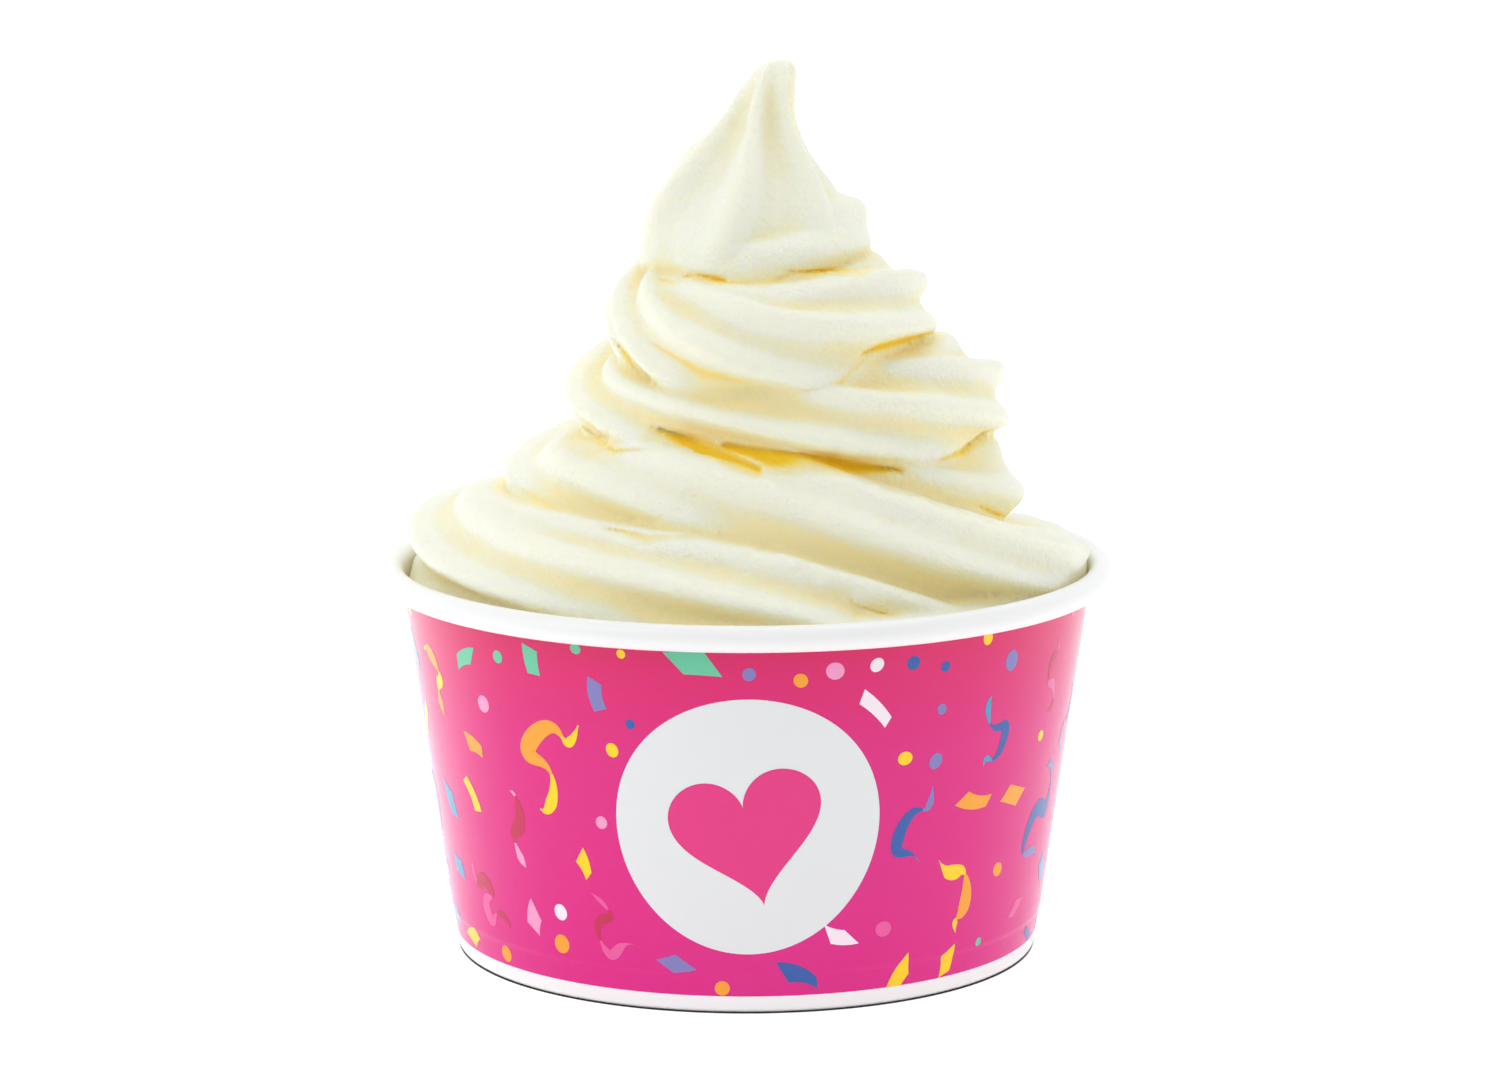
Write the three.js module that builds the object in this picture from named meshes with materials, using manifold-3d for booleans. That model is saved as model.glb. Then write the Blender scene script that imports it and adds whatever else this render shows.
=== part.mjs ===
// Soft-serve frozen yogurt, piped in a tall swirl into a short paper cup.
// Millimetres, +Z up. The origin is the centre of the circle that the cup stands on; +X is the cup's
// right-hand side and -Y its front.
import * as THREE from 'three';
import { ParametricGeometry } from 'three/addons/geometries/ParametricGeometry.js';
import { mergeVertices } from 'three/addons/utils/BufferGeometryUtils.js';
import Module from 'manifold-3d';

const wasm = await Module();
wasm.setup();

// ---- Driving dimensions of the paper cup ----
const RIM_RADIUS = 57;        // outer edge of the rolled rim
const FOOT_RADIUS = 45.4;     // outer face of the wall where it stands
const ROLL_HEIGHT = 59.3;     // middle of the rolled rim
const ROLL_HALF_HEIGHT = 2.0;
const WALL_TOP_RADIUS = 53.79; // outer face of the wall, carried on to the middle of the roll
const BOARD = 0.45;           // thickness of the paperboard
const SLOT = 0.6;             // room in the folded foot for the base's skirt
const FOLD_TOP = 7.0;         // top of the wall's inner fold
const FOLD_BOTTOM = 0.9;      // bottom of the slot, so the foot is this thick
const FOOT_ROUND = 0.4;       // rounding of the fold that the cup stands on
const CLEARANCE = 0.3;        // gap between two pieces that touch in the real cup
const SKIRT_CLEARANCE = 0.1;  // gap on both sides of the base's skirt, inside the slot
const CUP_SIDES = 72;

// ---- Driving dimensions of the piped rope ----
// One row a turn, from the bottom up: [reach, height, half-height, phase] at the right, front, left and
// back. Reach is from the cup's axis to the rope's outermost crest, height is the middle of the rope,
// and phase is where on its section a crest lies, in degrees above its outermost point.
const TURNS = [
  [[53, 44.2, 11.7, -179], [51.5, 61.6, 9.3, -108], [53.7, 62.7, 9.9, -31], [51.1, 56.2, 9.8, 38]],
  [[58.1, 58.4, 7.2, 79], [40.8, 74.9, 9.7, 148], [38.4, 73.1, 7, 268], [42.2, 73.5, 9, 339]],
  [[43.3, 71.2, 9.8, 420], [30.5, 78.4, 9, 482], [25.5, 81, 8.5, 536], [33.3, 82.6, 9.4, 601]],
  [[41.7, 86.1, 9.6, 694], [33.8, 86.2, 8.5, 788], [28.6, 87.1, 7.2, 864], [28.7, 92.9, 8.6, 927]],
  [[30.1, 100.2, 8.8, 997], [32.6, 96.6, 10.2, 1075], [21.4, 101, 7.9, 1206], [21.5, 105.9, 7.8, 1287]],
  [[19.8, 112.2, 7.5, 1356], [21.3, 108.6, 5.8, 1420], [12.5, 110, 6, 1482], [10, 111, 6, 1544]],
];
// As each of those turns begins, and past the last one: the rope's half-width, and how deep the
// valleys between its ridges are, as a share of its half sizes.
const ROPE_SIZES = [
  [13.0, 0.28],
  [12.5, 0.26],
  [11.0, 0.16],
  [11.5, 0.27],
  [11.0, 0.28],
  [9.5, 0.14],
  [8.5, 0.08],
];
const ROPE_TURNS = 5.6;       // length of the rope, in turns
const RIDGES = 6;             // points of the star nozzle
const RIDGE_SHARPNESS = 1.3;  // above 1, crests are narrower than valleys
const RIDGE_FLAT = 0.5;       // ridges fade where the rope's side leans in past this cosine
const INNER_EDGE = 1.5;       // the rope's slabs reach in to this radius
const POLE_RADIUS = 3;        // core that closes the middle
const POLE_TOP = 112;
const STEPS_PER_TURN = 28;
const ROPE_STEPS = Math.round(ROPE_TURNS * STEPS_PER_TURN);
const PIECES = 12;            // the rope is joined from this many pieces, each under half a turn
const ARC_STEPS = 27;         // facets on the rope's rounded outer side
const SECTION_STEPS = ARC_STEPS + 3;

// ---- Driving dimensions of the peak ----
const PEAK_HEIGHT = 109;      // height of the drop's widest part
const PEAK_UNDERCUT = 6.5;    // how far the drop's underside curls in below it
const TIP_HEIGHT = 139;
// From the widest part up to the tip, at even steps: radius, lean to the right, bearing of a crest in
// degrees, and the valleys' depth as a share of the radius.
const PEAK = [
  [16.9, 0, 253, 0.05],
  [16.5, 0, 257, 0.08],
  [14.6, -0.1, 263, 0.14],
  [10.8, 0.2, 262, 0.24],
  [6.8, 1.6, 256, 0.33],
  [4.7, 3.2, 240, 0.38],
  [3.2, 5.2, 226, 0.32],
];
const LEAN_FORWARD = 1.0;
const FLUTE_SHARPNESS = 1.7;
const UNDERSIDE_ROUND = 0.6;  // below 1, the drop's underside turns in later and faster
const TIP_BLUNTNESS = 40;     // the higher, the flatter the tip's end
const PEAK_ROWS = 22;
const PEAK_COLUMNS = 36;
const UNDERSIDE_SHARE = 0.2;  // share of the rows below the widest part

// ---- Where the yogurt meets the cup ----
const FILL_TOP = 51;          // level up to which the cup is full all round
const RIM_REACH = 53.6;       // the swirl's greatest radius above the rim
const RIM_TOP = 61.8;

const SLOPE = (WALL_TOP_RADIUS - FOOT_RADIUS) / ROLL_HEIGHT;
const ROLL_HALF_WIDTH = (RIM_RADIUS - WALL_TOP_RADIUS + BOARD) / 2;
const BASE_UNDERSIDE = FOLD_TOP + CLEARANCE;
const BASE_TOP = BASE_UNDERSIDE + BOARD;
const FLOOR = BASE_TOP + CLEARANCE;

// A point of the cup's profile, measured inwards from the wall's outer face.
function onWall(height, inward) {
  return new THREE.Vector2(FOOT_RADIUS + SLOPE * height - inward, height);
}

// Turns a profile about the cup's axis. A profile that runs up on its outer side faces outwards.
function turned(profile, sides = CUP_SIDES) {
  return new THREE.LatheGeometry(profile, sides).rotateX(Math.PI / 2);
}

// Wall, rolled rim and inward-folded foot, in one closed profile.
function cupGeometry() {
  const profile = [];
  const foot = onWall(0, 0).x;
  const fold = onWall(0, 2 * BOARD + SLOT).x;
  profile.push(new THREE.Vector2(foot - FOOT_ROUND, 0));
  profile.push(onWall(FOOT_ROUND, 0));
  profile.push(onWall(ROLL_HEIGHT - ROLL_HALF_HEIGHT * 0.8, 0));
  const rollStart = -0.75 * Math.PI;
  const rollEnd = Math.PI;
  const rollSteps = 14;
  const rollMiddle = RIM_RADIUS - ROLL_HALF_WIDTH;
  for (let i = 0; i <= rollSteps; i += 1) {
    const angle = rollStart + (rollEnd - rollStart) * (i / rollSteps);
    const radius = rollMiddle + ROLL_HALF_WIDTH * Math.cos(angle);
    profile.push(new THREE.Vector2(radius, ROLL_HEIGHT + ROLL_HALF_HEIGHT * Math.sin(angle)));
  }
  profile.push(onWall(FOLD_BOTTOM, BOARD));
  profile.push(onWall(FOLD_BOTTOM, BOARD + SLOT));
  profile.push(onWall(FOLD_TOP, BOARD + SLOT));
  profile.push(onWall(FOLD_TOP, 2 * BOARD + SLOT));
  profile.push(onWall(FOOT_ROUND, 2 * BOARD + SLOT));
  profile.push(new THREE.Vector2(fold + FOOT_ROUND, 0));
  profile.push(profile[0].clone());
  return turned(profile);
}

// Flat base with a skirt that hangs in the foot's slot.
function baseGeometry() {
  const inner = BOARD + SLOT - SKIRT_CLEARANCE;
  const outer = BOARD + SKIRT_CLEARANCE;
  const skirtBottom = FOLD_BOTTOM + CLEARANCE;
  const profile = [
    new THREE.Vector2(0, BASE_UNDERSIDE),
    onWall(BASE_UNDERSIDE, inner),
    onWall(skirtBottom, inner),
    onWall(skirtBottom, outer),
    onWall(BASE_TOP, outer),
    new THREE.Vector2(0, BASE_TOP),
  ];
  return turned(profile);
}

// Star nozzle's outline: 1 on a crest and 0 in the middle of a valley.
function crest(angle, sharpness) {
  return ((1 + Math.cos(RIDGES * angle)) / 2) ** sharpness;
}

// A smooth curve through two columns of a table.
function columns(table, one, other) {
  return new THREE.SplineCurve(table.map((row) => new THREE.Vector2(row[one], row[other])));
}

const course = columns(TURNS.flat(), 0, 1);
const growth = columns(TURNS.flat(), 2, 3);
const sizes = columns(ROPE_SIZES, 0, 1);

// The rope's section at a turn: where its middle is, how large it is, and where and how deep its
// valleys are.
function sectionAt(turn) {
  const quarter = Math.min(1, (4 * turn) / (4 * TURNS.length - 1));
  const place = course.getPoint(quarter);
  const size = sizes.getPoint(Math.min(1, turn / (ROPE_SIZES.length - 1)));
  const middle = Math.max(place.x - size.x, 1);
  return {
    middle,
    height: place.y,
    halfWidth: place.x - middle,
    halfHeight: growth.getPoint(quarter).x,
    phase: THREE.MathUtils.degToRad(growth.getPoint(quarter).y),
    depth: size.y,
  };
}

// A point on the section's outline: a star-edged arc outside, then flat faces in to the axis.
function sectionPoint(turn, step) {
  const { middle, height, halfWidth, halfHeight, phase, depth } = sectionAt(turn);
  if (step > ARC_STEPS) {
    const side = step === ARC_STEPS + 1 ? 1 : -1;
    return [INNER_EDGE, height + side * halfHeight];
  }
  const angle = -Math.PI / 2 + (Math.PI * step) / ARC_STEPS;
  const flat = Math.min(1, Math.cos(angle) / RIDGE_FLAT);
  const valley = depth * flat * (1 - crest(angle - phase, RIDGE_SHARPNESS));
  const radius = middle + halfWidth * (1 - valley) * Math.cos(angle);
  return [radius, height + halfHeight * (1 - valley) * Math.sin(angle)];
}

function turnedInsideOut(geometry) {
  const corners = geometry.index.array;
  for (let i = 0; i < corners.length; i += 3) {
    [corners[i], corners[i + 1]] = [corners[i + 1], corners[i]];
  }
  return geometry;
}

// A stretch of the rope. It rises clockwise, seen from above, and its two ends are closed by points.
// Its columns run down the section, so that the grid's diagonals lie along the twisting ridges.
function ropeGeometry(firstStep, lastStep) {
  const rows = lastStep - firstStep + 2;
  const surface = (u, v, target) => {
    const row = Math.round(v * rows);
    const step = THREE.MathUtils.clamp(firstStep + row - 1, firstStep, lastStep);
    const turn = step / STEPS_PER_TURN;
    const angle = -2 * Math.PI * turn;
    const column = Math.round((1 - u) * SECTION_STEPS) % SECTION_STEPS;
    let [radius, height] = sectionPoint(turn, column);
    if (row === 0 || row === rows) {
      const section = sectionAt(turn);
      radius = section.middle;
      height = section.height;
    }
    target.set(radius * Math.cos(angle), radius * Math.sin(angle), height);
  };
  return turnedInsideOut(new ParametricGeometry(surface, SECTION_STEPS, rows));
}

const drop = columns(PEAK, 0, 1);
const flutes = columns(PEAK, 2, 3);

// The peak: a drop with flutes, drawn up into a tip that leans over.
function peakGeometry() {
  const surface = (u, v, target) => {
    const angle = 2 * Math.PI * (Math.round(u * PEAK_COLUMNS) % PEAK_COLUMNS) / PEAK_COLUMNS;
    const rise = Math.max(0, (v - UNDERSIDE_SHARE) / (1 - UNDERSIDE_SHARE));
    const curl = (Math.PI / 2) * Math.max(0, 1 - v / UNDERSIDE_SHARE);
    const { x: radius, y: lean } = drop.getPoint(rise);
    const { x: bearing, y: depth } = flutes.getPoint(rise);
    const closing = Math.sqrt(1 - rise ** TIP_BLUNTNESS) * Math.max(0, Math.cos(curl)) ** UNDERSIDE_ROUND;
    const valley = depth * (1 - crest(angle - THREE.MathUtils.degToRad(bearing), FLUTE_SHARPNESS));
    const reach = v === 0 ? 0 : radius * closing * (1 - valley);
    target.set(
      lean + reach * Math.cos(angle),
      -LEAN_FORWARD * rise + reach * Math.sin(angle),
      PEAK_HEIGHT + (TIP_HEIGHT - PEAK_HEIGHT) * rise - PEAK_UNDERCUT * Math.sin(curl),
    );
  };
  return new ParametricGeometry(surface, PEAK_COLUMNS, PEAK_ROWS);
}

// The closed mesh with its shared vertices merged and its flattened triangles left out, as a solid.
function solid(geometry) {
  geometry.deleteAttribute('normal');
  geometry.deleteAttribute('uv');
  const merged = mergeVertices(geometry, 1e-4);
  const corners = merged.index.array;
  const kept = [];
  for (let i = 0; i < corners.length; i += 3) {
    const [a, b, c] = corners.slice(i, i + 3);
    if (a !== b && b !== c && c !== a) {
      kept.push(a, b, c);
    }
  }
  const vertProperties = new Float32Array(merged.attributes.position.array);
  const mesh = new wasm.Mesh({ numProp: 3, vertProperties, triVerts: new Uint32Array(kept) });
  return new wasm.Manifold(mesh);
}

// The triangles of the largest connected shell: pockets that joining the turns shuts in are filled.
function largestShell(corners, vertexCount) {
  const parent = Array.from({ length: vertexCount }, (_, vertex) => vertex);
  const rootOf = (vertex) => {
    let root = vertex;
    while (parent[root] !== root) {
      root = parent[root];
    }
    parent[vertex] = root;
    return root;
  };
  for (let i = 0; i < corners.length; i += 3) {
    parent[rootOf(corners[i])] = rootOf(corners[i + 1]);
    parent[rootOf(corners[i + 1])] = rootOf(corners[i + 2]);
  }
  const shells = new Map();
  for (let i = 0; i < corners.length; i += 3) {
    const root = rootOf(corners[i]);
    if (!shells.has(root)) {
      shells.set(root, []);
    }
    shells.get(root).push(...corners.slice(i, i + 3));
  }
  return [...shells.values()].sort((a, b) => b.length - a.length)[0];
}

function geometryOf(manifold) {
  const mesh = manifold.getMesh();
  const geometry = new THREE.BufferGeometry();
  geometry.setAttribute('position', new THREE.BufferAttribute(mesh.vertProperties, 3));
  geometry.setIndex(largestShell(mesh.triVerts, mesh.numVert));
  geometry.computeVertexNormals();
  return geometry;
}

// The room that the yogurt may take: inside the wall and the rim, and free above them.
function roomGeometry() {
  const inward = BOARD + CLEARANCE;
  return turned([
    new THREE.Vector2(0, FLOOR),
    onWall(FLOOR, inward),
    onWall(ROLL_HEIGHT, inward),
    new THREE.Vector2(onWall(ROLL_HEIGHT, inward).x, RIM_TOP),
    new THREE.Vector2(RIM_REACH, RIM_TOP),
    new THREE.Vector2(RIM_REACH, TIP_HEIGHT),
    new THREE.Vector2(0, TIP_HEIGHT + 1),
  ]);
}

// The cup's filling below the swirl.
function fillGeometry() {
  const inward = BOARD + CLEARANCE;
  return turned([
    new THREE.Vector2(0, FLOOR),
    onWall(FLOOR, inward),
    onWall(FILL_TOP, inward),
    new THREE.Vector2(0, FILL_TOP),
  ]);
}

function poleGeometry() {
  return turned([
    new THREE.Vector2(0, FILL_TOP - 1),
    new THREE.Vector2(POLE_RADIUS, FILL_TOP - 1),
    new THREE.Vector2(POLE_RADIUS, POLE_TOP),
    new THREE.Vector2(0, POLE_TOP),
  ], 12);
}

function yogurtGeometry() {
  let swirl = solid(poleGeometry());
  for (let i = 0; i < PIECES; i += 1) {
    const first = Math.round((ROPE_STEPS * i) / PIECES);
    const last = Math.round((ROPE_STEPS * (i + 1)) / PIECES);
    swirl = swirl.add(solid(ropeGeometry(first, last)));
  }
  swirl = swirl.add(solid(peakGeometry()));
  swirl = swirl.intersect(solid(roomGeometry()));
  return geometryOf(swirl.add(solid(fillGeometry())));
}

function piece(name, geometry, color, roughness) {
  const material = new THREE.MeshStandardMaterial({ color, roughness, metalness: 0 });
  const mesh = new THREE.Mesh(geometry, material);
  mesh.name = name;
  return mesh;
}

const frozenYogurtCup = new THREE.Group();
frozenYogurtCup.add(
  piece('cup', cupGeometry(), '#e9378e', 0.25),
  piece('cup_base', baseGeometry(), '#f3f3f1', 0.5),
  piece('frozen_yogurt', yogurtGeometry(), '#f2eed6', 0.5),
);

export default frozenYogurtCup;
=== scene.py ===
"""Soft frozen yogurt, piped in a tall swirl into a short printed paper cup.

Lengths in the functions below are millimetres; each mesh is turned to metres as it is made.
The origin is the middle of the circle that the cup stands on, +Z is up, +X is the cup's right-hand
side and -Y its printed front.
"""
import itertools
import math

import bmesh
import bpy
import numpy as np
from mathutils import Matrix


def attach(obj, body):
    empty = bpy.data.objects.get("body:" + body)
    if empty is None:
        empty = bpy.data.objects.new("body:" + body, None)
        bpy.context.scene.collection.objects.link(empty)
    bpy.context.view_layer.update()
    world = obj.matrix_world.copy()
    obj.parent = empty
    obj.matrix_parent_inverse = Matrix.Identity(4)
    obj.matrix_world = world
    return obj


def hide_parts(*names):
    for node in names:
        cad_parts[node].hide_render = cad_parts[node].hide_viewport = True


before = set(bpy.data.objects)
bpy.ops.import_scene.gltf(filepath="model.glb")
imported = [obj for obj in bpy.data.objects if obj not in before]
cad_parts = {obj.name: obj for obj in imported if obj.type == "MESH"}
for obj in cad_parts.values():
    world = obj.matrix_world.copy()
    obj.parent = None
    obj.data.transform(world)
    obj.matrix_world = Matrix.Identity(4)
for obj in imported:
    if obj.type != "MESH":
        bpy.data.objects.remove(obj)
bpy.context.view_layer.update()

MM = 0.001
PI = math.pi

# ---- Paper cup ----
RIM_RADIUS = 57.0
FOOT_RADIUS = 45.4
ROLL_HEIGHT = 59.3        # middle of the rolled rim
ROLL_HALF_HEIGHT = 2.0
WALL_TOP_RADIUS = 53.79   # outer face of the wall, carried on to the middle of the roll
BOARD = 0.45              # thickness of the paperboard
SLOT = 0.6                # room in the folded foot for the base's skirt
FOLD_TOP = 7.0            # top of the strip that is folded in and up at the foot
FOLD_MIDDLE = 0.75        # height about which the board turns back in that fold
CUP_SIDES = 360
SLOPE = (WALL_TOP_RADIUS - FOOT_RADIUS) / ROLL_HEIGHT
PRESSED, PRESSED_TO = 0.15, 6.2   # below this height the wall is pressed in against the base's skirt
PRESS_STEP = 1.2          # height over which the wall steps in
STEP_LOW, STEP_HIGH = 5.5, 6.9    # the wall's points lie close together between these heights
SEAM_AZIMUTH = 118.0      # degrees from the right-hand side: the overlapped side seam is at the back
SEAM_RADIUS = 50.0        # of the wall where the seam's widths are right
SEAM_WIDTH, SEAM_RISE = 9.0, 0.38
SEAM_CUT, SEAM_EASE = 0.35, 6.0   # how far round the cut edge and the easy side take to rise
SEAM_TOP = 58.5           # the seam ends here, under the rim
SEAM_TOP_FADE, SEAM_FOOT_FADE = 4.0, 1.5   # heights over which it dies away at its ends
BASE_LIFT, BASE_ROUNDING = 0.3, 0.4   # how far the base lies above the fold, and its corner's radius
SKIRT_FOOT, SKIRT_ROOM = 1.2, 0.1   # lower edge of the base's skirt, and its room on either side

# ---- Print ----
INK_FOOT = 2.7            # the print stops here and leaves a white band above the foot
INK_TOP = 57.6            # the print runs on under the rolled rim
INK_REACH = 54.5          # the rim beyond this radius stays white
INK_PROUD, HEART_PROUD = 0.025, 0.045   # how far the printed shapes stand off the wall
PRINT_RADIUS = 49.5       # of the wall halfway up; it turns lengths round the print into angles
PRINT_SEED = 41
LABEL_AZIMUTH, LABEL_HEIGHT, LABEL_RADIUS = 0.3, 29.6, 20.1
HEART_SIZE, HEART_TILT, HEART_DROP = 23.0, 12, 0.4
# How many figures of each kind, the room that each keeps clear around its middle, and the heights
# between which its middle lies.
FIGURES = {"curl": (7, 8.5, (11, 47)), "streamer": (17, 6.6, (11, 47)),
           "chip": (62, 3.6, (3.5, 56.5)), "dot": (70, 2.3, (3.5, 56.5))}
LABEL_ROOM = 0.75         # share of that room that a figure keeps from the label
MOST_TRIES = 120          # places tried for a figure before it is left out
# Least and most of a figure's measures. A chip has length, width, bend, slant and end width; a curl
# and a streamer have length, sway, waves, width, twist and lag.
DOT_WIDTH, DOT_STRETCH = (1.1, 2.9), (0.85, 1.2)
CHIP = [(3.2, 6.4), (1.8, 3.4), (-0.9, 0.9), (-0.9, 0.9), (0.6, 1.2)]
CURL = [(13, 17), (3.8, 5.0), (1.1, 1.5), (2.7, 3.4), (1.6, 2.6), (0, 1)]
STREAMER = [(10, 16), (1.6, 3.2), (0.8, 1.9), (1.5, 2.5), (1.4, 3.2), (0, 1)]
RIBBON_TILT = (-38, 38)   # degrees from the upright
INKS = {
    "yellow": "#FFD400", "orange": "#F7A326", "blue": "#2A5AA8", "teal": "#2A9FC9", "green": "#66C8A0",
    "violet": "#7F7CBC", "rose": "#E9589F", "pale_pink": "#F29CC8", "white": "#F4E9F1",
    "crimson": "#C41E4F",
}
DOT_INKS = ["yellow", "orange", "blue", "green", "pale_pink", "white", "violet", "rose"]
CHIP_INKS = ["yellow", "orange", "blue", "teal", "green", "white", "pale_pink", "violet", "rose"]
STREAMER_INKS = [("yellow", "orange"), ("violet", "blue"), ("white", "blue"), ("pale_pink", "crimson"),
                 ("teal", "blue"), ("rose", "crimson")]   # front and back

# ---- Piped rope ----
# A row a turn, from the bottom up: [reach, height, half-height, phase] at the right, front, left and
# back. Reach is from the cup's axis to the outermost crest, height is the middle of the rope, and
# phase is where on the section a crest lies, in degrees above its outermost point.
TURNS = np.array([
    [[53.0, 44.2, 11.7, -179], [51.5, 61.6, 9.3, -108], [53.7, 62.7, 9.9, -31], [51.1, 56.2, 9.8, 38]],
    [[58.1, 58.4, 7.2, 79], [40.8, 74.9, 9.7, 148], [38.4, 73.1, 7.0, 268], [42.2, 73.5, 9.0, 339]],
    [[43.3, 71.2, 9.8, 420], [30.5, 78.4, 9.0, 482], [25.5, 81.0, 8.5, 536], [33.3, 82.6, 9.4, 601]],
    [[41.7, 86.1, 9.6, 694], [33.8, 86.2, 8.5, 788], [28.6, 87.1, 7.2, 864], [28.7, 92.9, 8.6, 927]],
    [[30.1, 100.2, 8.8, 997], [32.6, 96.6, 10.2, 1075], [21.4, 101.0, 7.9, 1206], [21.5, 105.9, 7.8, 1287]],
    [[19.8, 112.2, 7.5, 1356], [20.3, 108.6, 5.8, 1420], [12.5, 110.0, 6.0, 1482], [10.0, 111.0, 6.0, 1544]],
]).reshape(-1, 4)
# As each turn begins: half-width, and the valleys' depth as a share of the rope's half sizes.
ROPE_SIZES = np.array([
    [13.0, 0.28], [12.5, 0.18], [11.0, 0.16], [11.5, 0.27], [11.0, 0.28], [9.5, 0.11], [8.5, 0.03],
])
ROPE_TURNS = 5.6
RIDGES = 6                # points of the star nozzle
ROPE_SHARPNESS, PEAK_SHARPNESS = 1.3, 1.7   # the higher, the narrower the crests
VALLEY_FADE = 0.5         # the valleys fade where the section's cosine falls below this
INNER_EDGE = 1.5
POLE_RADIUS, POLE_TOP = 3.0, 114.0

# ---- Peak ----
PEAK_HEIGHT, TIP_HEIGHT = 109.0, 139.0
PEAK_FORWARD, TIP_BACK = 2.2, 1.2   # the widest place is forward of the axis, the tip back from there
UNDER_SHARE, UNDER_DEPTH = 0.2, 6.5   # share of the rows that curl in under the drop, and how deep
UNDER_ROUNDNESS, TIP_BLUNTNESS = 0.6, 40
# From its widest place up to the tip at even steps: radius, lean to the right, bearing of a crest
# in degrees, and the valleys' depth as a share of the radius.
PEAK = np.array([
    [16.9, 0.0, 254, 0.09], [16.6, 0.0, 259, 0.15], [14.8, -0.1, 265, 0.22], [11.0, 0.2, 270, 0.30],
    [7.0, 1.6, 265, 0.39], [4.8, 3.2, 251, 0.43], [3.2, 5.2, 230, 0.34],
])

# ---- Where the turns don't lie close ----
# Gaps under a turn: depth, how strong their painted yellow shade and glow is, and [right, back, up,
# reach] along the gap's crisp edge. The gap reaches above that edge, or below it where the reach is
# negative.
GAPS = [
    (0.7, 0.45, [[-14, -14, 106.5, 0.3], [-11, -17, 106, 1.2], [-8, -17, 107.5, 0.4]]),
    (1.2, 0.9, [[-7.5, -16, 107.5, 0.3], [-4.5, -19.5, 107, 1.2], [-2.5, -21, 107, 0.3]]),
    (0.4, 0.3, [[-2, -22, 107, 0.5], [3, -20, 106, 1.1], [7.5, -17, 108, 0.5]]),
    (1.4, 1.0, [[7, -16, 108, 0.2], [12, -18.5, 108, 1.2], [17, -18, 107.5, 2], [19, -16.5, 108, 1.2]]),
    (1.1, 0.9, [[18, -23.5, 97, -0.5], [20, -22.5, 98, -1.6], [25, -17, 98.5, -1.6],
                [28.5, -11.5, 98, -0.3]]),
    (0.5, 0.3, [[-13.5, -23.5, 98, -0.5], [-6, -28, 95, -2.1], [6, -31, 93, -0.4]]),
    (0.4, 0.25, [[8, -30.5, 92, -0.4], [14, -27, 93, -1.1], [18, -24, 96.5, -0.5]]),
    (0.9, 0.6, [[-20, -11, 96.5, -0.2], [-18, -14, 95, -0.9], [-16.5, -16.5, 92.5, -0.2]]),
    (0.9, 0.6, [[-25, -6.5, 82.5, -0.2], [-20, -23.5, 82, -0.9], [-12.5, -31.5, 83.5, -0.1]]),
    (2.6, 1.0, [[-13.5, -24, 85, 0.3], [-9, -31, 83.5, 2.6], [-3, -36, 81.5, 3.4], [1.5, -38, 80.3, 2.4]]),
    (2.4, 0.9, [[-3, -30, 84, -1.6], [4, -29.5, 83, -4.2], [13, -28.5, 81.7, -4.0],
                [23, -26.5, 79.5, -0.6]]),
    (1.2, 0.7, [[29.5, -21.5, 80, -0.2], [33, -12, 80, -1.4], [37.5, -6, 82, -0.2]]),
    (1.0, 0.9, [[35.5, -16.5, 72, 0.2], [38.5, -9, 69, 1.1], [40.5, -1, 67.5, 0.2]]),
    (1.0, 0.45, [[-21, -35.5, 72, 0.4], [-15, -40, 70.5, 2.2], [-8, -41, 71.5, 0.6]]),
    (0.6, 0.35, [[-36, -11, 74.5, -0.2], [-32, -20, 74, -0.6], [-28, -28, 73, -0.2]]),
    (0.8, 0.5, [[16, -44, 62.5, 0.1], [20, -43, 60.5, 0.6], [22.5, -42, 60, 0.1]]),
]
GAPS_BACK_TO = 8.0        # the gaps lie in front of this
GAP_AIM = np.array([0, 40.0])   # [right, back] of the upright line that they are pressed towards
GAP_FULL = 0.35           # share of its reach over which a gap keeps its depth
GAP_END, GAP_SPREAD = 0.8, 12.0   # how fast a gap dies past its ends, and away from its edge in depth
LOOKS_LOWER = 0.16        # how much lower a point looks for each millimetre that it lies nearer
# Edges that tore as the yogurt left the nozzle: width, and points along the edge.
TORN = [
    (1.6, [[2, -42, 70], [9, -44, 67.5], [17, -44, 62.5]]),
    (1.8, [[18, -34, 79], [27, -32, 75], [38, -28, 70.5]]),
    (1.3, [[2, -30, 83], [12, -29, 82], [22, -27, 80]]),
    (1.3, [[-24, -18, 86], [-20, -21, 83], [-15, -27, 83]]),
    (1.3, [[-9, -29, 84], [-3, -36, 81.5], [4, -39, 79]]),
    (0.9, [[8, -16, 108], [17, -18, 107.5]]),
]

# ---- Where the yogurt meets the cup ----
FLOOR, FILL_TOP = 8.05, 57.0
BROW_IN, BROW_UP = 6.5, 3.6   # round shoulder of the filling: how far it turns in and up
SEEN_FROM, SEEN_EASE = 53.0, 4.0   # the yogurt below this is hidden in the cup and stays smooth
WALL_GAP = 0.3
THROAT, RIM_REACH, RIM_TOP = 53.0, 53.6, 61.8   # the room beside the rim, and above it

# ---- The yogurt's skin ----
VOXEL = 0.59   # the fused body's grain
VOXEL_TILT = 0.61         # radians
MOST_TRIANGLES = 190000   # what thinning the hidden part aims at; the part that shows is left whole
# Soft noises: how far they move the skin, the size of their lumps, and their seed.
SKIN = [(0.16, 7.0, 3), (0.07, 2.6, 4), (0.035, 0.9, 5)]
TORN_SKIN = [(0.55, 1.8, 7), (0.3, 0.9, 8)]
NEAR, WIDE = 2.2, 26.0    # square millimetres about a point that its smoothed places are a mean of
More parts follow.
